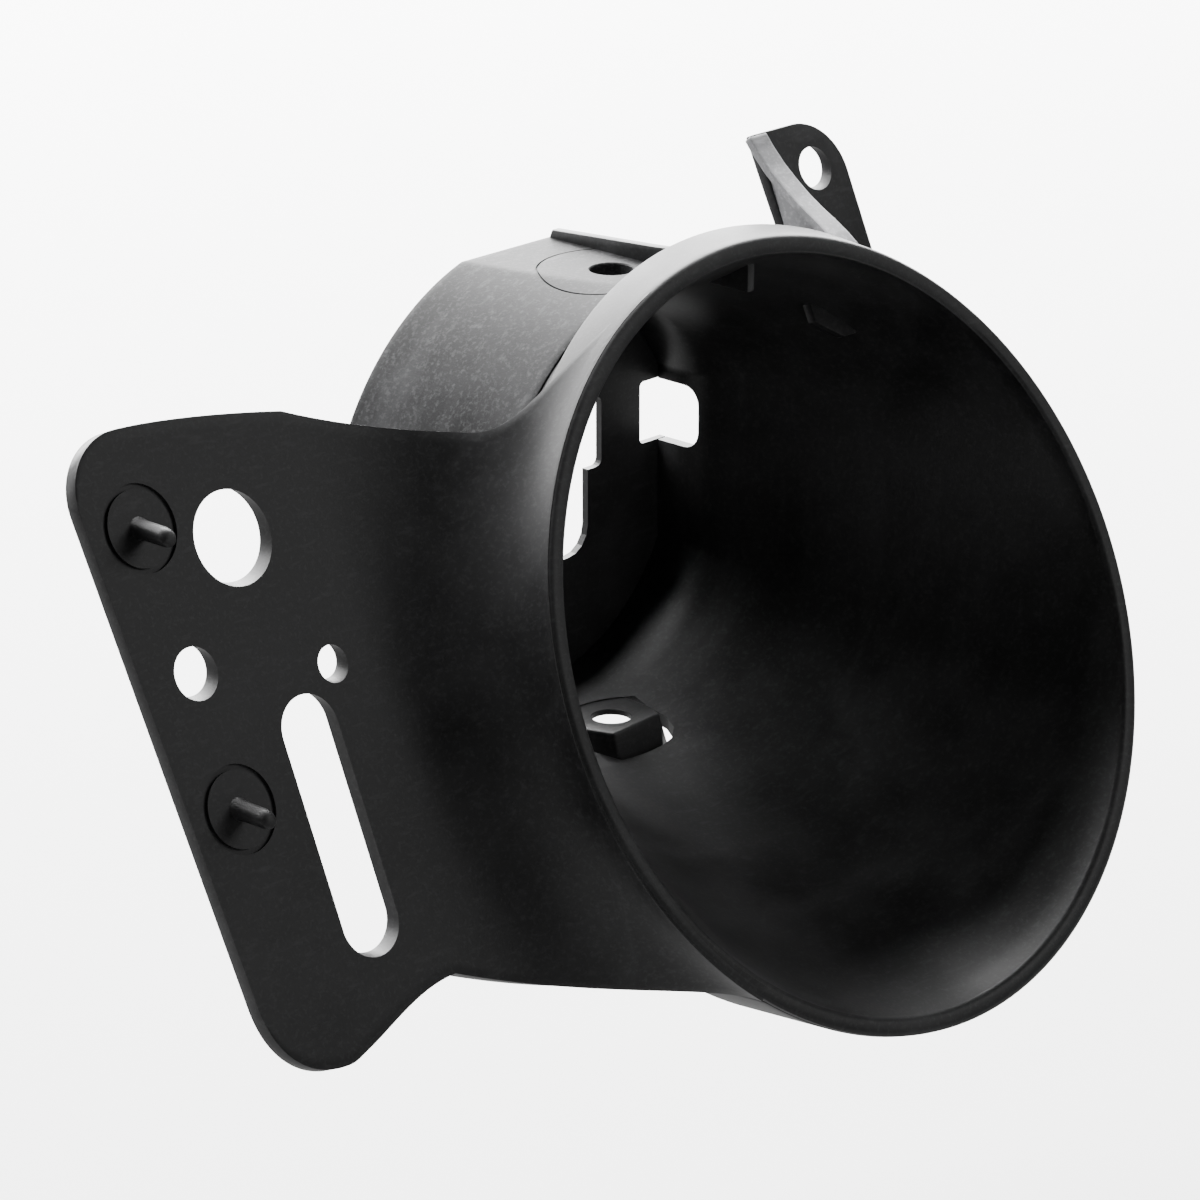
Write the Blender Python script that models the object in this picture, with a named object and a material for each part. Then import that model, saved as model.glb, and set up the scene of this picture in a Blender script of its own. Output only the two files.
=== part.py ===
"""Raked funnel hood with a side mounting flange, a rear shroud and an upper fixing ear.

Metres, +Z up.  The front of the funnel looks along -Y and the shroud's axis is parallel to Y.
The rim, the flange and the ear share one plane direction that leans back from the vertical by
RAKE.  The world origin is the middle of the flange's rear fixing face.
"""
import math

import bmesh
import bpy
from mathutils import Matrix, Vector

MM = 0.001
GAP = 0.3 * MM                    # clearance between neighbouring pieces
THROUGH = 10 * MM                 # half length of a cutter that goes through a wall

# ---- driving dimensions ---------------------------------------------------------------------
RAKE = math.radians(24)           # lean of the rim, flange and ear planes
WALL = 2.2 * MM                   # flange, ear and shroud wall
SEGMENTS = 72                     # round a full ring

RIM_RADIUS = 60 * MM              # outer radius at the front edge of the lip
RIM_INNER = 57.1 * MM
RIM_DROP = 6.5 * MM               # rim centre below the shroud axis
BAND_RADIUS = 60.5 * MM           # outer radius of the band behind the lip
BAND_DEPTH = 6.6 * MM             # length of the band along Y
BAND_STEP = 3.2 * MM              # step from the band down to the cone
LIP_CHAMFER = 0.7 * MM

CONE_STEPS = 5                    # rings between the band and the throat
CONE_FLARE = 1.0                  # how much faster the cone narrows on its upper left
FLARE_ANGLE = math.radians(135)

THROAT_RADIUS = 32 * MM           # inner radius at the back of the cone
THROAT_FLAT = 28.7 * MM           # inner flat on the +X side of the throat
THROAT_WALL = 2.0 * MM
THROAT_Y = 58 * MM                # where the cone becomes straight
THROAT_END = 67 * MM

SKIRT_RADII = (60.9 * MM, 61.8 * MM)      # outer, at the band and at the free end
SKIRT_END = 17.8 * MM
SKIRT_WALL = 1.6 * MM
SKIRT_ARC = (math.radians(239), math.radians(286))

SHROUD_RADIUS = 41.3 * MM         # outer radius at the rear edge
SHROUD_DRAFT = 0.0625             # radius lost per unit of length towards the front
SHROUD_FRONT = 20 * MM
SHROUD_END = 69.5 * MM
SHROUD_ARC = (math.radians(84), math.radians(235))    # from +X towards +Z

PAD_HEIGHT = 39.3 * MM            # flat on top of the shroud
PAD_X = (-12.5 * MM, 9.5 * MM)
PAD_FRONT = 28 * MM
PIVOT_Y = 50 * MM                 # vertical axis through both pivot holes
PIVOT_RADIUS = 3.35 * MM

RIB_X = 6.2 * MM
RIB_THICKNESS = 1.6 * MM
RIB_HEIGHTS = (4.6 * MM, 1.3 * MM)        # at the band and at the rear
RIB_SLOPE = 1.0 * MM                      # lean of its rear end

BACK_WALL = 1.2 * MM
OPENING = (16 * MM, 0.5 * MM, 12 * MM, 1.2 * MM)      # half width, bottom, top, corner
OPENING_FOOT = (12.9 * MM, -13 * MM, 8 * MM, 4.5 * MM)
WINDOW_Z = (1.9 * MM, 12.1 * MM)
WINDOW_FRONT = 58.4 * MM
WINDOW_LEFT = 24.8 * MM
WINDOW_CORNER = 3 * MM

HUB_HEIGHT = -32.7 * MM           # seat of the lower pivot
HUB_RADIUS = 3.0 * MM
HUB_X = (-11 * MM, 8 * MM)
HUB_FRONT = 43.5 * MM
HUB_REAR = 61 * MM
HUB_CORNER = 4 * MM
HUB_SLOT = 1.3 * MM               # gap cut in the cone round the hub
HUB_SLOT_DEPTH = 18 * MM

FLANGE_DEPTH = 16.4 * MM          # flange front face behind the rim plane
FLANGE_LEFT = -119.9 * MM         # all flange sizes are measured from the rim centre
FLANGE_BEND = -80 * MM            # line where the flat starts to sweep forward
FLANGE_TOP = 60 * MM
FLANGE_BOTTOM = -32.6 * MM
FLANGE_SLANT = 0.055              # lean of the left edge
SLANT_REACH = 20 * MM             # width over which that lean dies away
TOP_CORNER = 10 * MM
BOTTOM_CORNER = 12.5 * MM
LOBE_X = -103.5 * MM              # lowest point of the flange
NECK = (-26.4 * MM, 55.9 * MM)    # lower and upper edge at the bend line
MOUNT_POINT = (-96 * MM, 27 * MM)

ATTACH_DEPTH = 2.0 * MM           # the sweep runs on into the band, which trims it
ATTACH_RADIUS = BAND_RADIUS - 1.5 * MM
NECK_EASE = 1.5                   # how gently both edges run into the neck
CORNER_FULLNESS = 2.3             # 2 would make the lower corner a plain quarter ellipse
ATTACH_ARC = (math.radians(-48), math.radians(42))

BIG_HOLE = (-95.1 * MM, 41.1 * MM, 6.8 * MM)          # x, height, radius
LEFT_HOLE = (-108.4 * MM, 25.0 * MM, 3.75 * MM)
RIGHT_HOLE = (-84.6 * MM, 20.2 * MM, 2.7 * MM)
SLOT_X = -92.0 * MM
SLOT_WIDTH = 10.3 * MM
SLOT_ENDS = (-20.2 * MM, 17.6 * MM)

EAR_LEFT = 26.9 * MM
EAR_RIGHT = 44.85 * MM
EAR_TOP = 75.5 * MM
EAR_CORNER = 9 * MM
EAR_FOOT = 42 * MM                # runs on into the hood, which trims it
EAR_HOLE = (38.1 * MM, 67.7 * MM, 3.4 * MM)

RAMP_X = (25.6 * MM, 30 * MM)
RAMP_WALL = 1.2 * MM
RAMP_SIDE = (28.6 * MM, 30 * MM)
RAMP_HEIGHTS = (75.5 * MM, 69.8 * MM, 64.1 * MM, 59.2 * MM, 55.4 * MM)
RAMP_DEPTHS = (15.5 * MM, 13.8 * MM, 10.4 * MM, 6.3 * MM, 2.5 * MM)
RAMP_WEB_TOP = 3 * MM             # the web starts this far below the second point
RAMP_WEB_FOOT = 12 * MM           # it runs on into the hood, which trims it
RAMP_WEB_REAR = 14 * MM

POSTS = ((-110.2 * MM, 46.1 * MM), (-108.2 * MM, 5.6 * MM))
POST_RADIUS = 1.5 * MM
POST_LENGTH = 6.2 * MM

SIN, COS = math.sin(RAKE), math.cos(RAKE)
FORWARD = Vector((0, -1, 0))      # the mould opens along Y, so holes and posts run along Y
PLATE_BACK = Vector((0, COS, -SIN))


def raked(x, height, depth):
    """Point at x and height in the raked plane, depth behind the rim plane."""
    return Vector((x, depth * COS + height * SIN, -RIM_DROP + height * COS - depth * SIN))


for old in list(bpy.data.objects):
    bpy.data.objects.remove(old, do_unlink=True)

# Everything is placed from the shroud axis, and this empty carries that axis.
axis = bpy.data.objects.new("shroud_axis", None)
axis.location = -raked(*MOUNT_POINT, FLANGE_DEPTH + WALL)
bpy.context.scene.collection.objects.link(axis)


def material(name, grey, roughness):
    """Plain moulded plastic of one grey."""
    plastic = bpy.data.materials.new(name)
    plastic.use_nodes = True
    shader = plastic.node_tree.nodes["Principled BSDF"]
    shader.inputs["Base Color"].default_value = (grey, grey, grey * 1.03, 1)
    shader.inputs["Roughness"].default_value = roughness
    shader.inputs["Metallic"].default_value = 0
    return plastic


def add(name, build, plastic=None):
    """Object from a bmesh, parented to the shroud axis; without a plastic it is a cutter."""
    if all(edge.is_manifold for edge in build.edges):
        bmesh.ops.recalc_face_normals(build, faces=build.faces)
    mesh = bpy.data.meshes.new(name)
    build.to_mesh(mesh)
    build.free()
    item = bpy.data.objects.new(name, mesh)
    item.parent = axis
    bpy.context.scene.collection.objects.link(item)
    if plastic:
        mesh.materials.append(plastic)
        mesh.shade_smooth()
        mesh.set_sharp_from_angle(angle=math.radians(35))
    else:
        item.hide_render = True
        item.display_type = "WIRE"
    return item


def boolean(item, cutter, operation="DIFFERENCE"):
    """Exact Boolean that stays on the object."""
    step = item.modifiers.new(cutter.name, "BOOLEAN")
    step.object = cutter
    step.operation = operation
    step.solver = "EXACT"


# ---- solids -----------------------------------------------------------------------------------
def loft(rings, closed):
    """Solid through rings of equal length: a closed tube wall, or a capped column."""
    build = bmesh.new()
    loops = [[build.verts.new(point) for point in ring] for ring in rings]
    pairs = list(zip(loops, loops[1:]))
    if closed:
        pairs.append((loops[-1], loops[0]))
    for first, second in pairs:
        count = len(first)
        for i in range(count):
            j = (i + 1) % count
            build.faces.new((first[i], first[j], second[j], second[i]))
    if not closed:
        build.faces.new(loops[0])
        build.faces.new(loops[-1])
    return build


def prism(outline, shift):
    """Solid made by pushing a flat outline along a vector."""
    return loft([outline, [point + shift for point in outline]], closed=False)


def through(name, outline, length):
    """Cutter that runs along Y, half its length to each side of a flat outline."""
    return add(name, prism([point + FORWARD * length / 2 for point in outline], -FORWARD * length))


def angles(count=SEGMENTS):
    return [2 * math.pi * i / count for i in range(count)]


def arc(centre, radius, start, end, steps=8):
    """Points in a plane on an arc, both ends included."""
    turns = [start + (end - start) * i / steps for i in range(steps + 1)]
    return [(centre[0] + radius * math.cos(t), centre[1] + radius * math.sin(t)) for t in turns]


def raked_circle(x, height, depth, radius, count=32):
    """Circle in the raked plane."""
    return [raked(x + radius * math.cos(t), height + radius * math.sin(t), depth)
            for t in angles(count)]


def rim_ring(radius, back):
    """Circle in the rim plane, moved back along Y."""
    return [point - FORWARD * back for point in raked_circle(0, 0, 0, radius, SEGMENTS)]


def throat_ring(radius, y, flat):
    """Circle square to the shroud axis with its +X side cut flat."""
    return [Vector((min(radius * math.cos(t), flat), y, radius * math.sin(t))) for t in angles()]


def cone_rings(front, throat):
    """Rings from the band to the throat; the cone narrows sooner on its upper left."""
    rings = []
    for step in range(1, CONE_STEPS):
        run = step / CONE_STEPS
        ring = []
        for turn, near, far in zip(angles(), front, throat):
            flare = CONE_FLARE * max(0, math.cos(turn - FLARE_ANGLE))
            narrowing = run + flare * run * (1 - run)
            point = near.lerp(far, narrowing)
            point.y = near.y + (far.y - near.y) * run
            ring.append(point)
        rings.append(ring)
    return rings


def rounded_rectangle(x0, x1, z0, z1, radius):
    """Counter-clockwise outline with four equal round corners."""
    quarter = math.pi / 2
    corners = ((x1, z1), (x0, z1), (x0, z0), (x1, z0))
    outline = []
    for i, (x, z) in enumerate(corners):
        centre = (x - math.copysign(radius, x - (x0 + x1) / 2),
                  z - math.copysign(radius, z - (z0 + z1) / 2))
        outline += arc(centre, radius, i * quarter, (i + 1) * quarter, 4)
    return outline


black = material("moulded_black", 0.022, 0.55)
shroud_grey = material("moulded_grey_black", 0.035, 0.6)
outer_throat = THROAT_RADIUS + THROAT_WALL
outer_flat = THROAT_FLAT + THROAT_WALL


def outside_rings(extra):
    """Outside of the cone and throat, larger by a clearance."""
    front = rim_ring(BAND_RADIUS - BAND_STEP + extra, BAND_DEPTH + extra)
    throat = throat_ring(outer_throat + extra, THROAT_Y, outer_flat + extra)
    end = throat_ring(outer_throat + extra, THROAT_END + extra, outer_flat + extra)
    return [front] + cone_rings(front, throat) + [throat, end]


def inside_rings(less):
    """Inside of the cone and throat, smaller by a clearance."""
    front = rim_ring(RIM_INNER - less, LIP_CHAMFER)
    throat = throat_ring(THROAT_RADIUS - less, THROAT_Y, THROAT_FLAT - less)
    end = throat_ring(THROAT_RADIUS - less, THROAT_END, THROAT_FLAT - less)
    return [front] + cone_rings(front, throat) + [throat, end]


hood_volume = add("hood_volume", loft(
    [rim_ring(BAND_RADIUS + GAP, -2 * BAND_DEPTH), rim_ring(BAND_RADIUS + GAP, BAND_DEPTH + GAP)]
    + outside_rings(GAP), closed=False))
inside_volume = add("inside_volume", loft(inside_rings(GAP), closed=False))

# ---- funnel hood: lip, band, cone and straight throat ----------------------------------------
funnel_hood = add("funnel_hood", loft(
    [rim_ring(RIM_RADIUS - LIP_CHAMFER, 0), rim_ring(RIM_RADIUS, LIP_CHAMFER),
     rim_ring(BAND_RADIUS, BAND_DEPTH)] + outside_rings(0) + inside_rings(0)[::-1]
    + [rim_ring(RIM_INNER + LIP_CHAMFER, 0)], closed=True), black)

side_window = add("side_window", prism(
    [Vector((THROAT_FLAT / 2, y, z)) for y, z in rounded_rectangle(
        WINDOW_FRONT, THROAT_END * 1.1, *WINDOW_Z, WINDOW_CORNER)], Vector((THROAT_FLAT, 0, 0))))
boolean(funnel_hood, side_window)


def hub_outline(extra):
    """Plan of the hub on the cone's floor, larger by a clearance."""
    outline = rounded_rectangle(HUB_X[0] - extra, HUB_X[1] + extra, HUB_FRONT - extra,
                                HUB_REAR, HUB_CORNER)
    return [Vector((x, y, HUB_HEIGHT)) for x, y in outline]


def vertical_hole(name, height, radius):
    """Cutter for one pivot hole."""
    length = 10 * radius
    circle = [Vector((radius * math.cos(t), PIVOT_Y + radius * math.sin(t), height - length / 2))
              for t in angles(32)]
    return add(name, prism(circle, Vector((0, 0, length))))


upper_pivot = vertical_hole("upper_pivot", PAD_HEIGHT, PIVOT_RADIUS)
lower_pivot = vertical_hole("lower_pivot", HUB_HEIGHT, HUB_RADIUS)
hub_slot = add("hub_slot", prism([point + Vector((0, 0, GAP)) for point in hub_outline(HUB_SLOT)],
                                 Vector((0, 0, -HUB_SLOT_DEPTH))))
for cutter in (upper_pivot, hub_slot):
    boolean(funnel_hood, cutter)

# ---- lower hub: block in the cone's floor with the lower pivot hole ---------------------------
HUB_DEPTH = 6.5 * MM
lower_hub = add("lower_hub", prism(hub_outline(0), Vector((0, 0, -HUB_DEPTH))), black)
boolean(lower_hub, lower_pivot)

# ---- under skirt: short tongue behind the band, below the cone --------------------------------
skirt = []
for radius, back in ((SKIRT_RADII[0], BAND_DEPTH + GAP), (SKIRT_RADII[1], SKIRT_END)):
    section = arc((0, 0), radius - GAP, *SKIRT_ARC, 14)
    section += arc((0, 0), radius - GAP - SKIRT_WALL, *SKIRT_ARC, 14)[::-1]
    skirt.append([raked(x, height, 0) - FORWARD * back for x, height in section])
under_skirt = add("under_skirt", loft(skirt, closed=False), black)
boolean(under_skirt, hood_volume)


# ---- rear shroud: C-shaped sleeve round the back of the cone ----------------------------------
def shroud_arc(radius, y):
    """Arc of the shroud at one station along its axis."""
    reach = radius - SHROUD_DRAFT * (SHROUD_END - y)
    return [Vector((x, y, z)) for x, z in arc((0, 0), reach, *SHROUD_ARC, 30)]


rear_shroud = add("rear_shroud", loft(
    [shroud_arc(SHROUD_RADIUS, y) + shroud_arc(SHROUD_RADIUS - WALL, y)[::-1]
     for y in (SHROUD_FRONT, SHROUD_END)], closed=False), shroud_grey)
boolean(rear_shroud, hood_volume)


def pad_section(front, rear, bottom, top):
    """Side view of a bar that lies along Y."""
    return [(front, bottom), (rear, bottom), (rear, top), (front, top)]


def bar(name, x_range, section, plastic=None):
    """Bar across X with a section in the YZ plane."""
    return add(name, prism([Vector((x_range[0], y, z)) for y, z in section],
                           Vector((x_range[1] - x_range[0], 0, 0))), plastic)


pad_bed = bar("pad_bed", (PAD_X[0] - GAP, PAD_X[1] * 2),
              pad_section(0, SHROUD_END * 1.1, PAD_HEIGHT - WALL - GAP, PAD_HEIGHT * 1.5))
boolean(rear_shroud, pad_bed)

# ---- top pad: flat seat with the upper pivot hole ---------------------------------------------
top_pad = bar("top_pad", PAD_X, pad_section(PAD_FRONT, SHROUD_END, PAD_HEIGHT - WALL, PAD_HEIGHT),
              shroud_grey)
for cutter in (hood_volume, upper_pivot):
    boolean(top_pad, cutter)

# ---- top rib: low fin between the pad and the band --------------------------------------------
top_rib = bar("top_rib", (RIB_X, RIB_X + RIB_THICKNESS), [
    (PAD_FRONT, PAD_HEIGHT + GAP), (SHROUD_END, PAD_HEIGHT + GAP),
    (SHROUD_END - RIB_SLOPE, PAD_HEIGHT + RIB_HEIGHTS[1]),
    (PAD_FRONT, PAD_HEIGHT + RIB_HEIGHTS[0])], black)
boolean(top_rib, hood_volume)

# ---- back wall with the stepped opening and its half of the corner window ---------------------
back_y = THROAT_END + GAP
shroud_inside = SHROUD_RADIUS - WALL - SHROUD_DRAFT * (SHROUD_END - back_y) - 2 * GAP
ceiling = PAD_HEIGHT - WALL - 2 * GAP
back_outline = []
for t in angles(120):
    inside_shroud = SHROUD_ARC[0] < t < SHROUD_ARC[1]
    radius = shroud_inside if inside_shroud else outer_throat
    back_outline.append(Vector((min(radius * math.cos(t), outer_flat), back_y,
                                min(radius * math.sin(t), ceiling))))
back_wall = add("back_wall", prism(back_outline, -FORWARD * BACK_WALL), black)
for name, (half, bottom, top, corner) in (("opening", OPENING), ("opening_foot", OPENING_FOOT)):
    outline = rounded_rectangle(-half, half, bottom, top, corner)
    boolean(back_wall, through(name, [Vector((x, back_y, z)) for x, z in outline], THROUGH))
outline = rounded_rectangle(WINDOW_LEFT, outer_flat * 1.3, *WINDOW_Z, 0.8 * MM)
boolean(back_wall, through("rear_window", [Vector((x, back_y, z)) for x, z in outline], THROUGH))


# ---- side flange: flat plate that sweeps forward into the band --------------------------------
def flange_edges(x):
    """Lower and upper edge of the flat plate at x."""
    run = (x - FLANGE_LEFT - TOP_CORNER) / (FLANGE_BEND - FLANGE_LEFT - TOP_CORNER)
    upper = FLANGE_TOP + (NECK[1] - FLANGE_TOP) * max(run, 0) ** NECK_EASE
    rise = max(0, (x - LOBE_X) / (FLANGE_BEND - LOBE_X))
    lower = FLANGE_BOTTOM + (NECK[0] - FLANGE_BOTTOM) * math.sin(math.pi / 2 * rise) ** NECK_EASE
    into = FLANGE_LEFT + TOP_CORNER - x
    if into > 0:
        upper -= TOP_CORNER - math.sqrt(max(TOP_CORNER ** 2 - into ** 2, 0))
    into = min(1, max(0, (LOBE_X - x) / (LOBE_X - FLANGE_LEFT)))
    lower += BOTTOM_CORNER * (1 - (1 - into ** CORNER_FULLNESS) ** (1 / CORNER_FULLNESS))
    return lower, upper


def flange_grid(rows=16, flat_columns=26, sweep_columns=12):
    """Columns of points over the front face, from the left edge to the band."""
    columns = []
    for i in range(flat_columns):
        x = FLANGE_LEFT + (FLANGE_BEND - FLANGE_LEFT) * (1 - math.cos(math.pi / 2 * i / flat_columns))
        lower, upper = flange_edges(x)
        fade = max(0, 1 - (x - FLANGE_LEFT) / SLANT_REACH)
        column = []
        for j in range(rows + 1):
            height = lower + (upper - lower) * j / rows
            lean = FLANGE_SLANT * (FLANGE_TOP - height) * fade
            column.append(raked(x + lean, height, FLANGE_DEPTH))
        columns.append(column)
    for i in range(sweep_columns + 1):
        t = i / sweep_columns
        column = []
        for j in range(rows + 1):
            v = j / rows
            turn = ATTACH_ARC[0] + (ATTACH_ARC[1] - ATTACH_ARC[0]) * v
            start = Vector((FLANGE_BEND, NECK[0] + (NECK[1] - NECK[0]) * v, FLANGE_DEPTH))
            end = Vector((-ATTACH_RADIUS * math.cos(turn),
                          ATTACH_RADIUS * math.sin(turn) + ATTACH_DEPTH * SIN / COS, ATTACH_DEPTH))
            pull = start.lerp(end, 0.8)
            pull.z = FLANGE_DEPTH
            column.append(raked(*start.lerp(pull, t).lerp(pull.lerp(end, t), t)))
        columns.append(column)
    return columns


sheet = bmesh.new()
grid = [[sheet.verts.new(point) for point in column] for column in flange_grid()]
for near, far in zip(grid, grid[1:]):
    for k in range(len(near) - 1):
        sheet.faces.new((near[k], far[k], far[k + 1], near[k + 1]))
side_flange = add("side_flange", sheet, black)
solid = side_flange.modifiers.new("thickness", "SOLIDIFY")
solid.thickness = WALL
solid.offset = -1
solid.use_even_offset = True
boolean(side_flange, hood_volume)

for name, (x, height, radius) in (("big_hole", BIG_HOLE), ("left_hole", LEFT_HOLE),
                                  ("right_hole", RIGHT_HOLE)):
    boolean(side_flange, through(name, raked_circle(x, height, FLANGE_DEPTH, radius), THROUGH))
slot_outline = rounded_rectangle(SLOT_X - SLOT_WIDTH / 2, SLOT_X + SLOT_WIDTH / 2, *SLOT_ENDS,
                                 SLOT_WIDTH / 2 - 0.01 * MM)
slot = through("slot", [raked(x, height, FLANGE_DEPTH) for x, height in slot_outline], THROUGH)
boolean(side_flange, slot)

# ---- moulding posts on the front of the flange ------------------------------------------------
POST_SHAPE = ((1.0, 0), (0.95, 0.75), (0.7, 0.93), (0.35, 1.0))       # radius and length shares
for number, (x, height) in enumerate(POSTS, 1):
    rings = [[point + FORWARD * POST_LENGTH * reach for point in
              raked_circle(x, height, FLANGE_DEPTH - GAP, POST_RADIUS * share, 16)]
             for share, reach in POST_SHAPE]
    add("moulding_post_%d" % number, loft(rings, closed=False), black)

# ---- fixing ear -------------------------------------------------------------------------------
ear_points = arc((EAR_RIGHT - EAR_CORNER, EAR_TOP - EAR_CORNER), EAR_CORNER, 0, math.pi / 2, 9)
ear_points += [(EAR_LEFT, EAR_TOP), (EAR_LEFT, EAR_FOOT), (EAR_RIGHT, EAR_FOOT)]
fixing_ear = add("fixing_ear", prism([raked(x, height, FLANGE_DEPTH) for x, height in ear_points],
                                     PLATE_BACK * WALL), black)
boolean(fixing_ear, hood_volume)
boolean(fixing_ear, through("ear_hole", raked_circle(*EAR_HOLE[:2], FLANGE_DEPTH, EAR_HOLE[2]),
                            THROUGH))

# ---- ear ramp and its side web: brace from the ear forward to the band ------------------------
ramp_line = [raked(0, height, depth) for height, depth in zip(RAMP_HEIGHTS, RAMP_DEPTHS)]
under_line = [point - Vector((0, 0, RAMP_WALL)) for point in ramp_line]
ramp_section = [(point.y, point.z) for point in ramp_line + under_line[::-1]]
ear_ramp = bar("ear_ramp", RAMP_X, ramp_section, black)
boolean(ear_ramp, hood_volume)

web_line = [point - Vector((0, 0, GAP)) for point in under_line[1:]]
web_foot = [raked(0, RAMP_HEIGHTS[-1], RAMP_DEPTHS[-1]) - Vector((0, 0, RAMP_WEB_FOOT)),
            raked(0, RAMP_HEIGHTS[-1] - RAMP_WEB_REAR, FLANGE_DEPTH - GAP),
            raked(0, RAMP_HEIGHTS[1] - RAMP_WEB_TOP, FLANGE_DEPTH - GAP)]
ramp_web = bar("ramp_web", RAMP_SIDE, [(point.y, point.z) for point in web_line + web_foot], black)
boolean(ramp_web, hood_volume)
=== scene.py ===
import math

import bpy
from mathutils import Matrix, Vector


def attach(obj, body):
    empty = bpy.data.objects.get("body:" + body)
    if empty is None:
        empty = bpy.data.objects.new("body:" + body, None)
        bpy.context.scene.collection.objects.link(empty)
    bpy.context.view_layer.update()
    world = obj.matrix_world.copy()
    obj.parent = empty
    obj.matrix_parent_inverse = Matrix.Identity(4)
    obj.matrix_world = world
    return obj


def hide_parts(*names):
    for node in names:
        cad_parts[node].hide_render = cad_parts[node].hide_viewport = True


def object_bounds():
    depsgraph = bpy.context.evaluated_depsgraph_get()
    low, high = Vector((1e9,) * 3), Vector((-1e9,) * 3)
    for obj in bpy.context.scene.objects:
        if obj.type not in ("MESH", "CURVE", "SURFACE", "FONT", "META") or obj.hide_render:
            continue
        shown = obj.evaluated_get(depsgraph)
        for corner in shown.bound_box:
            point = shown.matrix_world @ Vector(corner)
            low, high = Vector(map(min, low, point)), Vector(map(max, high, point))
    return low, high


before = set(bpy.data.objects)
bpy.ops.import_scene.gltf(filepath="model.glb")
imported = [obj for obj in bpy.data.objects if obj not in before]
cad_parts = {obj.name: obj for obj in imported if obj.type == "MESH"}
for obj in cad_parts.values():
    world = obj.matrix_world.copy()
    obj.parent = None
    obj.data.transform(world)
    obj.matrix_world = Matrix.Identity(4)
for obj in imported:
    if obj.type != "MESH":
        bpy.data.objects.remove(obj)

cad_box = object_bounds()
MM = 0.001

# ---- Camera and studio ------------------------------------------------------------------------
# A long lens from the front left and a little above. A pale table lies below. Soft panels stand
# behind, overhead and at the right, so the top faces go nearly white and the funnel stays dark;
# a small one behind on the left lights the left edges. Places in m, sizes in m, powers in W.
lens = bpy.data.cameras.new("camera")
lens.lens = 165
lens.sensor_width = 36
lens.clip_end = 50
camera = bpy.data.objects.new("camera", lens)
camera.location = (-0.48327, -0.52575, 0.25828)
camera.rotation_euler = (math.radians(90 - 19.51), 0, math.radians(-46.475))
bpy.context.scene.collection.objects.link(camera)
bpy.context.scene.camera = camera

bpy.ops.object.select_all(action="DESELECT")
bpy.ops.mesh.primitive_plane_add(size=40, location=(0, 0, cad_box[0][2] - 60 * MM))
table = bpy.context.object
table.name = "table"
white = bpy.data.materials.new("table_white")
white.use_nodes = True
surface = white.node_tree.nodes["Principled BSDF"]
surface.inputs["Roughness"].default_value = 0.9
surface.inputs["Specular IOR Level"].default_value = 0.1
seen = white.node_tree.nodes.new("ShaderNodeLightPath")
tone = white.node_tree.nodes.new("ShaderNodeMix")
tone.data_type = "RGBA"
tone.inputs["A"].default_value = (0.16, 0.16, 0.16, 1)
tone.inputs["B"].default_value = (0.97, 0.97, 0.97, 1)
white.node_tree.links.new(seen.outputs["Is Camera Ray"], tone.inputs["Factor"])
white.node_tree.links.new(tone.outputs["Result"], surface.inputs["Base Color"])
table.data.materials.append(white)


def softbox(name, place, aim, width, height, power):
    """Rectangular area light aimed at a point."""
    light = bpy.data.lights.new(name, "AREA")
    light.shape = "RECTANGLE"
    light.size = width
    light.size_y = height
    light.energy = power
    box = bpy.data.objects.new(name, light)
    box.location = place
    box.rotation_euler = (Vector(aim) - Vector(place)).to_track_quat("-Z", "Y").to_euler()
    box.visible_camera = False
    bpy.context.scene.collection.objects.link(box)


softbox("overhead_light", (0.1, 1.2, 1.5), (0.05, 0.1, 0), 2.4, 1.4, 150)
softbox("back_panel", (1.0, 1.2, 0.62), (0.05, 0.0, 0), 2.2, 1.2, 160)
softbox("top_right_panel", (0.95, 0.65, 1.05), (0.05, 0.0, 0), 0.7, 0.5, 30)
softbox("left_light", (-0.55, 1.25, 0.3), (0.0, 0.0, 0), 0.7, 0.7, 5)
softbox("front_panel", (0.9, -0.95, 0.62), (0.0, 0.0, 0), 0.9, 0.7, 3.0)
world = bpy.data.worlds.new("studio_air")
world.use_nodes = True
bpy.context.scene.world = world
air = world.node_tree
dim = air.nodes["Background"]
dim.inputs["Color"].default_value = (1, 1, 1, 1)
dim.inputs["Strength"].default_value = 0.065
bright = air.nodes.new("ShaderNodeBackground")
bright.inputs["Strength"].default_value = 3.0
rays = air.nodes.new("ShaderNodeLightPath")
choose = air.nodes.new("ShaderNodeMixShader")
air.links.new(rays.outputs["Is Camera Ray"], choose.inputs[0])
air.links.new(dim.outputs[0], choose.inputs[1])
air.links.new(bright.outputs[0], choose.inputs[2])
air.links.new(choose.outputs[0], air.nodes["World Output"].inputs[0])

# ---- Moulded nylon ----------------------------------------------------------------------------
# Black glass-filled nylon. The skin is finely mottled where fibres reach the surface, with long
# pale flow streaks and a few scuffs. The sleeve's copy is more matte, and its paler grey is painted
# light for its lit top and side.
grain = bpy.data.node_groups.new("nylon_skin", "ShaderNodeTree")
for label, kind, value in (("Dark", "NodeSocketColor", (0.012, 0.012, 0.013, 1)),
                           ("Pale", "NodeSocketColor", (0.04, 0.04, 0.042, 1)),
                           ("Streak", "NodeSocketFloat", 0.3), ("Speck", "NodeSocketFloat", 0.5),
                           ("Rough", "NodeSocketFloat", 0.5)):
    socket = grain.interface.new_socket(name=label, in_out="INPUT", socket_type=kind)
    socket.default_value = value
for label, kind in (("Colour", "NodeSocketColor"), ("Roughness", "NodeSocketFloat"),
                    ("Height", "NodeSocketFloat")):
    grain.interface.new_socket(name=label, in_out="OUTPUT", socket_type=kind)
nodes, links = grain.nodes, grain.links
given = nodes.new("NodeGroupInput")
result = nodes.new("NodeGroupOutput")
coordinates = nodes.new("ShaderNodeTexCoord")


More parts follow.
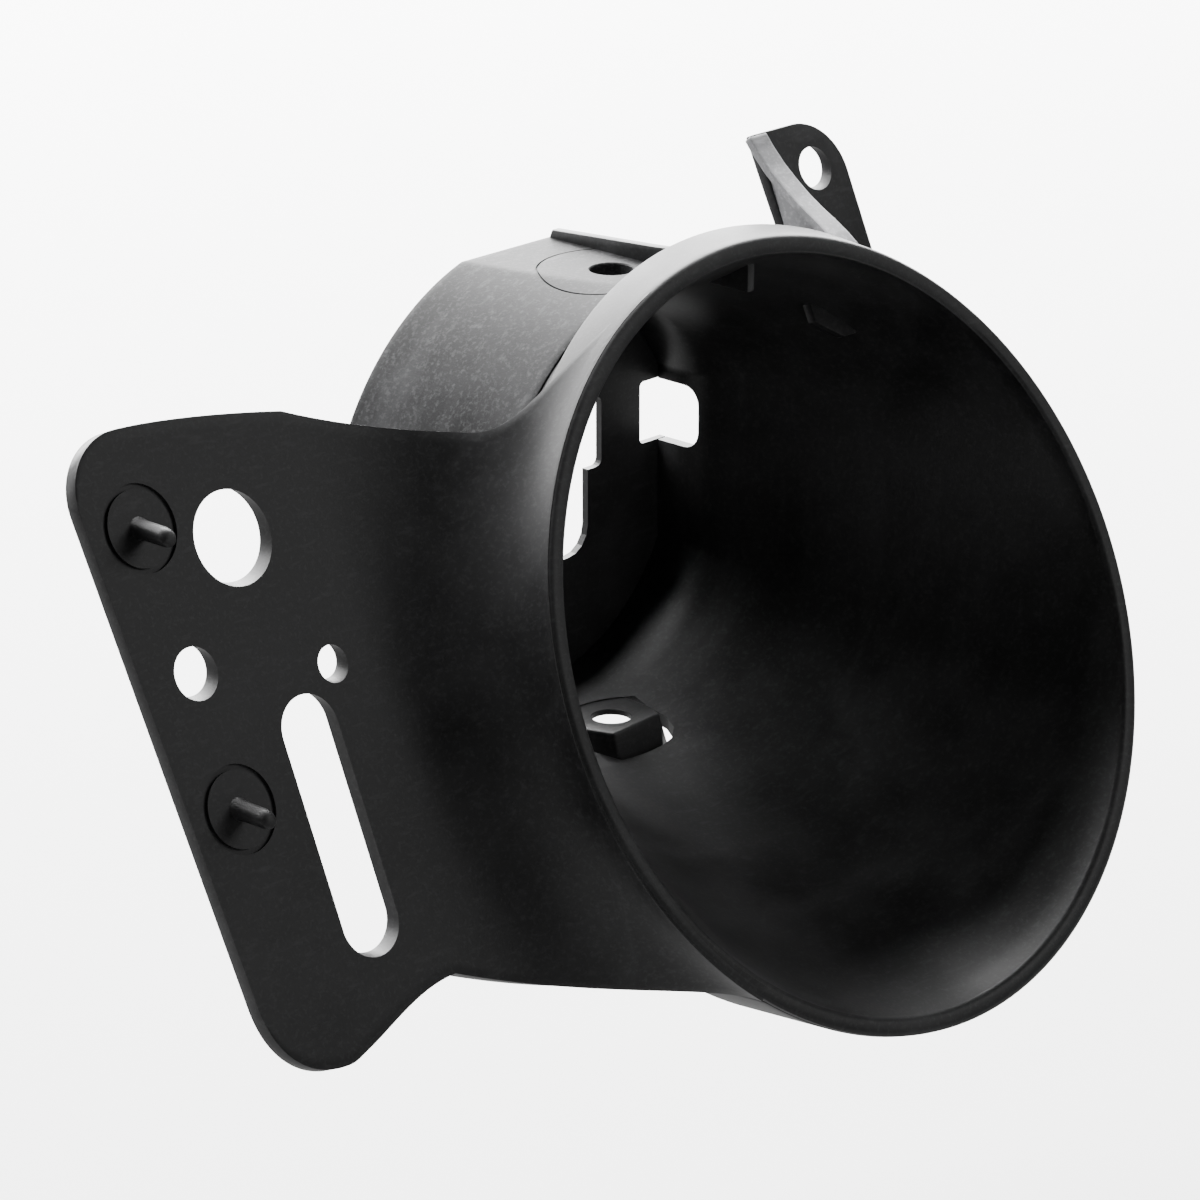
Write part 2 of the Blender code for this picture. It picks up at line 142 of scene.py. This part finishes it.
def noise(scale, detail, stretch=(1, 1, 1), turn=(0, 0, 0), distortion=0.0):
    """Noise on object coordinates, optionally drawn out along an axis."""
    mapping = nodes.new("ShaderNodeMapping")
    mapping.inputs["Scale"].default_value = stretch
    mapping.inputs["Rotation"].default_value = turn
    links.new(coordinates.outputs["Object"], mapping.inputs["Vector"])
    texture = nodes.new("ShaderNodeTexNoise")
    texture.inputs["Scale"].default_value = scale
    texture.inputs["Detail"].default_value = detail
    texture.inputs["Roughness"].default_value = 0.62
    texture.inputs["Distortion"].default_value = distortion
    links.new(mapping.outputs["Vector"], texture.inputs["Vector"])
    return texture.outputs["Fac"]


def ramp(value, low, high, out_low=0.0, out_high=1.0):
    """Clamped straight-line change of range."""
    change = nodes.new("ShaderNodeMapRange")
    change.inputs["From Min"].default_value = low
    change.inputs["From Max"].default_value = high
    change.inputs["To Min"].default_value = out_low
    change.inputs["To Max"].default_value = out_high
    links.new(value, change.inputs["Value"])
    return change.outputs["Result"]


def maths(operation, first, second):
    """Sum, product or larger of two values, each a number or a socket."""
    step = nodes.new("ShaderNodeMath")
    step.operation = operation
    for socket, value in zip(step.inputs, (first, second)):
        if isinstance(value, (int, float)):
            socket.default_value = value
        else:
            links.new(value, socket)
    return step.outputs[0]


clouds = ramp(noise(38, 5), 0.36, 0.66)
flow = ramp(noise(60, 6, (0.35, 1.6, 0.35), (0.4, 0.0, 0.3), 0.5), 0.52, 0.74)
specks = ramp(noise(1500, 2), 0.52, 0.74)
fibres = ramp(noise(900, 3, (0.3, 1.0, 1.0), (0.5, 0.7, 0.2)), 0.56, 0.72)
fleck = maths("MULTIPLY", maths("MAXIMUM", specks, fibres), given.outputs["Speck"])
paleness = maths("ADD", maths("MULTIPLY", clouds, 0.5),
                 maths("ADD", maths("MULTIPLY", flow, given.outputs["Streak"]),
                       maths("MULTIPLY", fleck, 0.6)))
colour = nodes.new("ShaderNodeMix")
colour.data_type = "RGBA"
links.new(paleness, colour.inputs["Factor"])
links.new(given.outputs["Dark"], colour.inputs["A"])
links.new(given.outputs["Pale"], colour.inputs["B"])
links.new(colour.outputs["Result"], result.inputs["Colour"])
rough = maths("ADD", given.outputs["Rough"],
              maths("ADD", maths("MULTIPLY", clouds, 0.08), maths("MULTIPLY", flow, 0.07)))
links.new(rough, result.inputs["Roughness"])
height = maths("ADD", maths("MULTIPLY", noise(2600, 2), 0.5),
               maths("ADD", maths("MULTIPLY", noise(420, 3), 0.6), maths("MULTIPLY", fibres, 0.2)))
links.new(height, result.inputs["Height"])


def nylon(name, dark, pale, streak, speck, rough, bump=0.25, shine=0.4):
    """Material of one finish of the nylon."""
    plastic = bpy.data.materials.new(name)
    plastic.use_nodes = True
    tree = plastic.node_tree
    shader = tree.nodes["Principled BSDF"]
    skin = tree.nodes.new("ShaderNodeGroup")
    skin.node_tree = grain
    skin.inputs["Dark"].default_value = (dark, dark, dark * 1.04, 1)
    skin.inputs["Pale"].default_value = (pale, pale, pale * 1.03, 1)
    skin.inputs["Streak"].default_value = streak
    skin.inputs["Speck"].default_value = speck
    skin.inputs["Rough"].default_value = rough
    relief = tree.nodes.new("ShaderNodeBump")
    relief.inputs["Strength"].default_value = bump
    relief.inputs["Distance"].default_value = 0.08 * MM
    tree.links.new(skin.outputs["Colour"], shader.inputs["Base Color"])
    tree.links.new(skin.outputs["Roughness"], shader.inputs["Roughness"])
    tree.links.new(skin.outputs["Height"], relief.inputs["Height"])
    tree.links.new(relief.outputs["Normal"], shader.inputs["Normal"])
    shader.inputs["Specular IOR Level"].default_value = shine
    return plastic


hood_nylon = nylon("hood_nylon", 0.009, 0.055, 0.35, 0.6, 0.40)
flange_nylon = nylon("flange_nylon", 0.009, 0.06, 0.45, 0.6, 0.40)
# Paler copy for the sleeve: its grey is painted light for the lit top and side; its matt skin and
# streaks are the nylon's own.
sleeve_painted_light_nylon = nylon("sleeve_painted_light_nylon", 0.008, 0.085, 0.55, 1.0, 0.5, 0.6, 0.12)
# Far paler copy of the nylon for the ear ramp and web: a painted highlight on the strip and painted
# light on the shaded web.
ramp_painted_light_nylon = nylon("ramp_painted_light_nylon", 0.22, 0.6, 0.5, 0.8, 0.45, 0.4)

# ---- Funnel hood ------------------------------------------------------------------------------
# The main shell: a rounded lip, a short band, a cone that leans with the rim and a straight
# throat with a flat on its right side. It is moulded in one shot, with a wall of 2 to 3 mm.
SLEEVE_AXIS = Vector((96, -27.974, -10.6)) * MM     # from the middle of the flange's rear face
SIN, COS = math.sin(math.radians(24)), math.cos(math.radians(24))


def sleeve_point(x, y, z):
    """Point in mm measured from the sleeve's axis."""
    return SLEEVE_AXIS + Vector((x, y, z)) * MM


def raked(x, height, depth=0.0, back=0.0):
    """Point in mm in the plane that leans 24 degrees, depth behind the rim, moved back along Y."""
    rim_drop = 6.5
    return sleeve_point(x, depth * COS + height * SIN + back,
                        height * COS - depth * SIN - rim_drop)


def shaped_grid(name, across, along, shape, wrap=False):
    """Grid whose every point goes where shape(u, v) says, both running from 0 to 1."""
    bpy.ops.object.select_all(action="DESELECT")
    bpy.ops.mesh.primitive_grid_add(x_subdivisions=across, y_subdivisions=along, size=2)
    piece = bpy.context.object
    piece.name = name
    piece.data.name = name
    for vertex in piece.data.vertices:
        vertex.co = shape((vertex.co.x + 1) / 2, (vertex.co.y + 1) / 2)
    bpy.ops.object.mode_set(mode="EDIT")
    bpy.ops.mesh.select_all(action="SELECT")
    if wrap:
        bpy.ops.mesh.remove_doubles(threshold=0.001 * MM)
        bpy.ops.mesh.normals_make_consistent(inside=False)
    bpy.ops.object.mode_set(mode="OBJECT")
    return piece


def only(piece):
    """Makes one piece the selected and active one."""
    bpy.ops.object.select_all(action="DESELECT")
    piece.select_set(True)
    bpy.context.view_layer.objects.active = piece


def close_ends(piece):
    """Caps the open ends of a tube."""
    only(piece)
    bpy.ops.object.mode_set(mode="EDIT")
    bpy.ops.mesh.select_all(action="SELECT")
    bpy.ops.mesh.fill_holes(sides=0)
    bpy.ops.mesh.normals_make_consistent(inside=False)
    bpy.ops.object.mode_set(mode="OBJECT")


def apply(piece, kind, **values):
    """Adds a modifier with the given values and applies it."""
    only(piece)
    step = piece.modifiers.new(kind.lower(), kind)
    for key, value in values.items():
        setattr(step, key, value)
    bpy.ops.object.modifier_apply(modifier=step.name)


def cut(piece, cutter):
    """Cuts one solid out of a piece and removes the cutter."""
    apply(piece, "BOOLEAN", object=cutter, solver="EXACT")
    bpy.data.objects.remove(cutter, do_unlink=True)


def dress(piece, material, replaces=()):
    """Gives a piece its finish, shading and place in the frame."""
    piece.data.materials.clear()
    piece.data.materials.append(material)
    only(piece)
    bpy.ops.object.shade_smooth_by_angle(angle=math.radians(32))
    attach(piece, "root")
    if replaces:
        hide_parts(*replaces)


def solid_of(name, outline, push):
    """Flat outline pushed along a vector into a closed solid."""
    bpy.ops.object.select_all(action="DESELECT")
    bpy.ops.mesh.primitive_circle_add(vertices=len(outline), fill_type="NGON")
    piece = bpy.context.object
    piece.name = name
    piece.data.name = name
    for vertex, point in zip(piece.data.vertices, outline):
        vertex.co = point
    bpy.ops.object.mode_set(mode="EDIT")
    bpy.ops.mesh.select_all(action="SELECT")
    bpy.ops.mesh.extrude_region_move(TRANSFORM_OT_translate={"value": push})
    bpy.ops.mesh.select_all(action="SELECT")
    bpy.ops.mesh.normals_make_consistent(inside=False)
    bpy.ops.object.mode_set(mode="OBJECT")
    return piece


def cone_points(turn, start, end, share):
    """Point on the cone; it narrows sooner on its upper left."""
    flare = max(0, math.cos(turn - math.radians(135)))
    narrowing = share + flare * share * (1 - share)
    point = start.lerp(end, narrowing)
    point.y = start.y + (end.y - start.y) * share
    return point


def throat(turn, radius, flat, y):
    """Point of the straight throat, whose right side is flat."""
    return sleeve_point(min(radius * math.cos(turn), flat), y, radius * math.sin(turn))


CONE_OUTSIDE, CONE_INSIDE = (57.3, 6.6), (57.1, 1.3)        # radius and distance behind the rim
THROAT_OUTSIDE, THROAT_INSIDE = (34, 30.7), (32, 28.7)      # radius and flat on the right
THROAT_START, THROAT_LIP, THROAT_END = 58, 63, 67
LIP = [(58.5, 0.02), (59.1, 0.0), (59.55, 0.08), (59.85, 0.26), (60.0, 0.6), (60.07, 1.3),
       (60.5, 6.0), (60.46, 6.3), (60.2, 6.5), (57.4, 6.6)]
LIP_INSIDE = [(57.1, 1.3), (57.12, 0.8), (57.25, 0.42), (57.55, 0.16), (58.0, 0.05)]
CONE_STATIONS = 22
THROAT_ROWS = ((*THROAT_OUTSIDE, THROAT_END), (*THROAT_INSIDE, THROAT_END),
               (*THROAT_INSIDE, THROAT_LIP))
STATIONS = len(LIP) + 2 * (CONE_STATIONS + 1) + len(THROAT_ROWS) + len(LIP_INSIDE)


def rim_ring(turn, radius, back):
    """Point of a ring parallel to the rim."""
    return raked(radius * math.cos(turn), radius * math.sin(turn), 0, back)


def hood_shape(u, v):
    """Once round the wall: lip, band, outside of the cone, throat, inside of the cone."""
    turn = 2 * math.pi * u
    station = round(v * STATIONS) % STATIONS
    if station < len(LIP):
        return rim_ring(turn, *LIP[station])
    station -= len(LIP)
    if station <= CONE_STATIONS:
        share = (station + 1) / (CONE_STATIONS + 1)
        return cone_points(turn, rim_ring(turn, *CONE_OUTSIDE),
                           throat(turn, *THROAT_OUTSIDE, THROAT_START), share)
    station -= CONE_STATIONS + 1
    if station < len(THROAT_ROWS):
        return throat(turn, *THROAT_ROWS[station])
    station -= len(THROAT_ROWS)
    if station <= CONE_STATIONS:
        share = 1 - station / (CONE_STATIONS + 1)
        return cone_points(turn, rim_ring(turn, *CONE_INSIDE),
                           throat(turn, *THROAT_INSIDE, THROAT_START), share)
    return rim_ring(turn, *LIP_INSIDE[station - CONE_STATIONS - 1])


hood = shaped_grid("hood_shell", 288, STATIONS, hood_shape, wrap=True)


def rounded_box(low, high, axis, radius):
    """Box cutter in sleeve millimetres with its four edges along one axis rounded."""
    first, second = [i for i in range(3) if i != axis]
    outline = []
    for corner, (side, end) in enumerate(((high, high), (low, high), (low, low), (high, low))):
        for step in range(7):
            turn = math.pi / 2 * (corner + step / 6)
            spot = list(low)
            spot[first] = side[first] + radius * (math.cos(turn) - (1 if side is high else -1))
            spot[second] = end[second] + radius * (math.sin(turn) - (1 if end is high else -1))
            outline.append(sleeve_point(*spot))
    push = Vector((0, 0, 0))
    push[axis] = (high[axis] - low[axis]) * MM
    return solid_of("rounded_box", outline, push)


cut(hood, rounded_box((20, 58.4, 1.9), (40, 74, 12.1), 0, 3))
slot_round_hub = ((8.6, 63), (8.6, 55.5), (8.7, 50), (9.3, 46.9), (8.6, 44.7), (6.6, 43.3),
                  (4.2, 43.0), (-5, 43.0), (-8.6, 46), (-12, 50), (-12.4, 55), (-12.4, 63))
cut(hood, solid_of("hub_slot", [sleeve_point(x, y, -60) for x, y in slot_round_hub],
                   Vector((0, 0, 27.5)) * MM))
dress(hood, hood_nylon, replaces=("funnel_hood",))

# ---- Side flange ------------------------------------------------------------------------------
# A 2.2 mm plate that bends forward and runs smoothly into the band. Its holes and slot are drawn
# along Y, with a small break on the front edges, and its outline is rounded by the mould.
EDGE_LEFT, EDGE_TOP, EDGE_BOTTOM, BEND, LOBE = -119.9, 60.0, -32.6, -80.0, -103.5
NECK_LOW, NECK_HIGH = -26.4, 55.9
PLATE_DEPTH = 16.4


def plate_edges(x):
    """Lower and upper edge of the flat plate at x."""
    top_corner, bottom_corner, fullness, ease = 10, 12.5, 2.3, 1.5
    run = max(0, (x - EDGE_LEFT - top_corner) / (BEND - EDGE_LEFT - top_corner))
    upper = EDGE_TOP + (NECK_HIGH - EDGE_TOP) * run ** ease
    rise = max(0, (x - LOBE) / (BEND - LOBE))
    lower = EDGE_BOTTOM + (NECK_LOW - EDGE_BOTTOM) * math.sin(math.pi / 2 * rise) ** ease
    into = max(0, EDGE_LEFT + top_corner - x)
    upper -= top_corner - math.sqrt(max(top_corner ** 2 - into ** 2, 0))
    into = min(1, max(0, (LOBE - x) / (LOBE - EDGE_LEFT)))
    lower += bottom_corner * (1 - (1 - into ** fullness) ** (1 / fullness))
    return lower, upper


def sweep(share, v):
    """Point of the sweep from the bend to just over the band; v may run past 1."""
    turn = math.radians(-48 + 90 * v)
    band_radius, lead_in = 60.2, 9
    start = Vector((BEND, NECK_LOW + (NECK_HIGH - NECK_LOW) * v, PLATE_DEPTH))
    end = Vector((-band_radius * math.cos(turn), band_radius * math.sin(turn), 0.4))
    behind = end + Vector((0, SIN, COS)) * lead_in
    pull = start.lerp(end, 0.62)
    pull.z = PLATE_DEPTH
    first, second, third = start.lerp(pull, share), pull.lerp(behind, share), behind.lerp(end, share)
    return raked(*first.lerp(second, share).lerp(second.lerp(third, share), share))


FLAT_SHARE = 0.5


def flange_shape(u, v):
    """Flat plate first, closer rows at its left edge, then the sweep, which fans out upwards."""
    lean, lean_reach = 0.055, 20
    if u < FLAT_SHARE:
        x = EDGE_LEFT + (BEND - EDGE_LEFT) * (1 - math.cos(math.pi / 2 * u / FLAT_SHARE))
        lower, upper = plate_edges(x)
        height = lower + (upper - lower) * v
        fade = max(0, 1 - (x - EDGE_LEFT) / lean_reach)
        return raked(x + lean * (EDGE_TOP - height) * fade, height, PLATE_DEPTH)
    share = (u - FLAT_SHARE) / (1 - FLAT_SHARE)
    rise = max(0, (share - 0.55) / 0.45)
    return sweep(share, v * (1 + 0.32 * rise ** 2.2))


flange = shaped_grid("side_flange_plate", 88, 48, flange_shape)
apply(flange, "SOLIDIFY", thickness=2.2 * MM, offset=-1, use_even_offset=True)
apply(flange, "BEVEL", width=0.3 * MM, segments=2, limit_method="ANGLE",
      angle_limit=math.radians(50))


def drawn_cutter(name, outline):
    """Cutter along Y through the plate; its front end opens out and breaks the front edge."""
    middle = Vector([sum(values) / len(outline) for values in zip(*outline)])
    rows = ((-5.0, 0.3), (0.25, 0.0), (6.0, 0.0))

    def cutter_shape(u, v):
        corner = Vector(outline[round(u * len(outline)) % len(outline)])
        back, opened = rows[round(v * 2)]
        corner += (corner - middle).normalized() * opened
        return raked(corner.x, corner.y, PLATE_DEPTH, back)

    piece = shaped_grid(name, len(outline), 2, cutter_shape, wrap=True)
    close_ends(piece)
    return piece


def ring_groove(radius, width, surface):
    """Tube cutter for a ring; surface(x, y, out) gives a point of its floor or well outside."""
    def groove_shape(u, v):
        turn = 2 * math.pi * u
        corner = round(v * 4) % 4
        reach = radius + width / 2 * (1 if corner in (1, 2) else -1)
        return surface(reach * math.cos(turn), reach * math.sin(turn), corner in (2, 3))

    return shaped_grid("groove_cutter", 96, 4, groove_shape, wrap=True)


def circle(x, height, radius, count=64):
    """Round outline in the raked plane."""
    turns = [2 * math.pi * i / count for i in range(count)]
    return [(x + radius * math.cos(t), height + radius * math.sin(t)) for t in turns]


for name, x, height, radius in (("big_hole", -95.1, 41.1, 6.8), ("left_hole", -108.4, 25, 3.75),
                                ("right_hole", -84.6, 20.2, 2.7)):
    cut(flange, drawn_cutter(name, circle(x, height, radius)))
slot_outline = [(x, height + (12.45 if height >= 0 else -15.05))
                for x, height in circle(-92, 0, 5.15)]
cut(flange, drawn_cutter("slot", slot_outline))
POSTS = ((-110.2, 46.1), (-108.2, 5.6))
for post_x, post_height in POSTS:
    cut(flange, ring_groove(5.9, 0.8, lambda x, y, out: raked(
        post_x + x, post_height + y, PLATE_DEPTH + (-3 if out else 0.45))))
dress(flange, flange_nylon, replaces=("side_flange",))

# ---- Sprue posts ------------------------------------------------------------------------------
# Two short pins on the front of the plate, each in the middle of a ring left by its sleeve pin.
POST_RADIUS = 1.5
POST_ROWS = ((1.25, -0.6), (1.1, 0.25), (1.0, 0.8), (0.97, 5.0), (0.86, 5.7), (0.6, 6.1),
             (0.25, 6.2))              # share of the radius and distance from the plate
for number, (post_x, post_height) in enumerate(POSTS, 1):
    def post_shape(u, v):
        share, reach = POST_ROWS[round(v * (len(POST_ROWS) - 1))]
        turn = 2 * math.pi * u
        return raked(post_x + POST_RADIUS * share * math.cos(turn),
                     post_height + POST_RADIUS * share * math.sin(turn), PLATE_DEPTH, -reach)

    post = shaped_grid("sprue_post_%d" % number, 32, len(POST_ROWS) - 1, post_shape, wrap=True)
    close_ends(post)
    dress(post, flange_nylon, replaces=("moulding_post_%d" % number,))

# ---- Rear sleeve and top pad ------------------------------------------------------------------
# A C-shaped sleeve, slightly conical for the mould, flattened on top into the seat of the upper
# pivot screw. Its front runs up against the cone. It is more matte than the hood, and its paler grey
# is painted light for its lit top and side.
PAD_TOP = 39.3
PIVOT = (0, 50)                        # both pivot holes stand on this upright line
SLEEVE_FROM, SLEEVE_TURN, SLEEVE_STEPS = 76, 159, 150       # arc in degrees from the right
SLEEVE_END = 69.35


def sleeve_radius(y):
    """Outer radius, which grows towards the rear."""
    return 41.3 - 0.0625 * (69.5 - y)


def cone_front(turn):
    """Where the outside of the cone comes down to the sleeve, in one direction from its axis."""
    y_before = gap_before = 0
    for step in range(1, 100):
        share, aim = step / 100, turn
        for _ in range(4):
            point = cone_points(aim, rim_ring(aim, *CONE_OUTSIDE),
                                throat(aim, *THROAT_OUTSIDE, THROAT_START), share) - SLEEVE_AXIS
            aim += (turn - math.atan2(point.z, point.x) + math.pi) % (2 * math.pi) - math.pi
        y = point.y / MM
        gap = math.hypot(point.x, point.z) / MM - sleeve_radius(y) + 0.35
        if gap < 0:
            return y_before + (y - y_before) * gap_before / (gap_before - gap)
        y_before, gap_before = y, gap


def sleeve_shape(u, v):
    """Part of a cone, cut off flat at the height of the pad."""
    turn = math.radians(SLEEVE_FROM + SLEEVE_TURN * u)
    front = sleeve_front[round(u * SLEEVE_STEPS)]
    y = front + (SLEEVE_END - front) * v
    return sleeve_point(sleeve_radius(y) * math.cos(turn), y,
                        min(sleeve_radius(y) * math.sin(turn), PAD_TOP))


sleeve_front = [cone_front(math.radians(SLEEVE_FROM + SLEEVE_TURN * i / SLEEVE_STEPS))
                for i in range(SLEEVE_STEPS + 1)]
sleeve = shaped_grid("rear_sleeve", SLEEVE_STEPS, 24, sleeve_shape)
apply(sleeve, "SOLIDIFY", thickness=2.2 * MM, offset=1)
apply(sleeve, "BEVEL", width=0.25 * MM, segments=2, limit_method="ANGLE",
      angle_limit=math.radians(50))


def upright_hole(radius, top, depth, broken):
    """Cutter on the pivots' line whose mouth opens out by a small chamfer."""
    rows = ((radius + 3 * broken, 3 * broken), (radius, -0.4 * broken), (radius, -depth))

    def hole_shape(u, v):
        reach, rise = rows[round(v * 2)]
        turn = 2 * math.pi * u
        return sleeve_point(PIVOT[0] + reach * math.cos(turn), PIVOT[1] + reach * math.sin(turn),
                            top + rise)

    cutter = shaped_grid("hole_cutter", 64, 2, hole_shape, wrap=True)
    close_ends(cutter)
    return cutter


def over_sleeve(x, y, out):
    """Point just inside or well outside the sleeve's skin, x and y from the pivots' line."""
    top = min(PAD_TOP, math.sqrt(sleeve_radius(PIVOT[1] + y) ** 2 - x ** 2))
    return sleeve_point(PIVOT[0] + x, PIVOT[1] + y, top + (3 if out else -0.3))


cut(sleeve, upright_hole(3.35, PAD_TOP, 9, 0.5))
cut(sleeve, ring_groove(11.3, 0.3, over_sleeve))
# The sleeve's paler grey nylon is painted light for its lit top and side.
dress(sleeve, sleeve_painted_light_nylon, replaces=("rear_shroud", "top_pad"))

# ---- Top rib ----------------------------------------------------------------------------------
# A thin fin from the band back over the pad. It gets lower towards the rear, where its end
# slopes.
rib_side = ((28, 38.6), (69.4, 38.6), (68.6, 40.6), (47, 42.1), (28, 43.9))
rib = solid_of("top_rib_fin", [sleeve_point(6.2, y, z) for y, z in rib_side],
               Vector((1.6, 0, 0)) * MM)
apply(rib, "BEVEL", width=0.3 * MM, segments=2, limit_method="ANGLE",
      angle_limit=math.radians(30))
dress(rib, hood_nylon, replaces=("top_rib",))

# ---- Back wall --------------------------------------------------------------------------------
# A thin wall across the throat with the stepped opening for the lamp's neck.
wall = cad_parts["back_wall"]
for holder in wall.material_slots:
    holder.material = hood_nylon

# ---- Lower hub --------------------------------------------------------------------------------
# The block that takes the lower pivot screw, set in a slot in the cone's floor. Its seat is flat,
# its faces slope for the mould, and it is hollow from below and open at the rear and the right.
HUB_TOP, HUB_BASE = -32.7, -38.2
seat = ((-10, 60), (-10, 53), (-7.2, 50.6), (-5.3, 44.4), (6.2, 45.4), (7.6, 49), (7.9, 56),
        (7.9, 60))
base = ((-11, 60), (-11, 51), (-7.8, 46.8), (-4.6, 43.5), (4.9, 43.5), (8.0, 45.2), (8.4, 52),
        (8.4, 60))


def hub_shape(u, v):
    """Corners of the foot, then of the seat."""
    corners, z = ((base, HUB_BASE), (seat, HUB_TOP))[round(v)]
    x, y = corners[round(u * len(corners)) % len(corners)]
    return sleeve_point(x, y, z)


hub = shaped_grid("lower_hub_block", len(base), 1, hub_shape, wrap=True)
close_ends(hub)
apply(hub, "BEVEL", width=0.45 * MM, segments=3, limit_method="ANGLE",
      angle_limit=math.radians(15))
cut(hub, rounded_box((-5.5, 46, -45), (12, 66, HUB_TOP - 0.9), 2, 1))
cut(hub, upright_hole(3.1, HUB_TOP, 12, 0.25))
dress(hub, hood_nylon, replaces=("lower_hub",))


# ---- Under skirt ------------------------------------------------------------------------------
# A short tongue that carries the band backwards below the cone, with the mould's draft.
def skirt_shape(u, v):
    """Arc from 229 to 286 degrees whose radius grows towards its free end."""
    return rim_ring(math.radians(229 + 57 * u), 60.2 + 1.3 * v, 1.0 + 16.7 * v)


skirt = shaped_grid("under_skirt_tongue", 60, 8, skirt_shape)
apply(skirt, "SOLIDIFY", thickness=1.6 * MM, offset=1)
apply(skirt, "BEVEL", width=0.25 * MM, segments=2, limit_method="ANGLE",
      angle_limit=math.radians(50))
dress(skirt, hood_nylon, replaces=("under_skirt",))

# ---- Fixing ear -------------------------------------------------------------------------------
# A small plate that leans with the flange, rounded at its upper right, with one screw hole.
EAR_RIGHT, EAR_TOP, EAR_CORNER = 44.85, 75.5, 9
ear_outline = [(EAR_RIGHT + EAR_CORNER * (math.cos(t) - 1), EAR_TOP + EAR_CORNER * (math.sin(t) - 1))
               for t in (math.pi / 2 * i / 14 for i in range(15))]
ear_outline += [(26.8, 75.5), (27.0, 68), (28.0, 45.4), (33, 42), (44.9, 42)]
ear = solid_of("fixing_ear_plate", [raked(x, h, PLATE_DEPTH) for x, h in ear_outline],
               Vector((0, COS, -SIN)) * 1.8 * MM)
apply(ear, "BEVEL", width=0.3 * MM, segments=2, limit_method="ANGLE",
      angle_limit=math.radians(30))
cut(ear, drawn_cutter("ear_hole", circle(37.8, 68.0, 3.4)))
dress(ear, flange_nylon, replaces=("fixing_ear",))

# ---- Ear ramp and web -------------------------------------------------------------------------
# A curved strip from the top of the ear forward and down to the band, held up by a web. Both get
# a far paler copy of the nylon: a painted highlight on the strip and painted light on the web.
RAMP_LINE = ((75.3, 15.9), (73.2, 15.3), (69.9, 14.0), (67.4, 12.7), (64.3, 10.9), (61.9, 9.2),
             (59.2, 7.1), (57.0, 5.5), (55.0, 4.3), (52.5, 3.6))


def along_ramp(v):
    """Height and depth on the ramp's upper face."""
    place = v * (len(RAMP_LINE) - 1)
    step = min(int(place), len(RAMP_LINE) - 2)
    here, there = RAMP_LINE[step], RAMP_LINE[step + 1]
    return [a + (b - a) * (place - step) for a, b in zip(here, there)]


def ramp_shape(u, v):
    """Strip whose left edge flares out towards the foot."""
    high, deep = along_ramp(v)
    left, right = 25.3 - 4.5 * max(0, v - 0.55) ** 1.6, 29.3
    return raked(left + (right - left) * u, high, deep)


ramp_strip = shaped_grid("ear_ramp_strip", 8, 36, ramp_shape)
apply(ramp_strip, "SOLIDIFY", thickness=1.3 * MM, offset=1)
apply(ramp_strip, "BEVEL", width=0.25 * MM, segments=2, limit_method="ANGLE",
      angle_limit=math.radians(50))
# Painted highlight: the strip's pale nylon stands in for the light it reflects.
dress(ramp_strip, ramp_painted_light_nylon, replaces=("ear_ramp",))

WEB_LEFT = 27.5
web_side = [raked(WEB_LEFT, high, deep) - Vector((0, 0, 1.0)) * MM
            for high, deep in (along_ramp(i / 12) for i in range(1, 12))]
web_side += [raked(WEB_LEFT, 50, 4.5), raked(WEB_LEFT, 50, PLATE_DEPTH + 0.3),
             raked(WEB_LEFT, 72.5, PLATE_DEPTH + 0.3)]
web = solid_of("ear_ramp_web", web_side, Vector((1.3, 0, 0)) * MM)
# Painted light: the web's pale nylon lightens a face that lies in shade.
dress(web, ramp_painted_light_nylon, replaces=("ramp_web",))
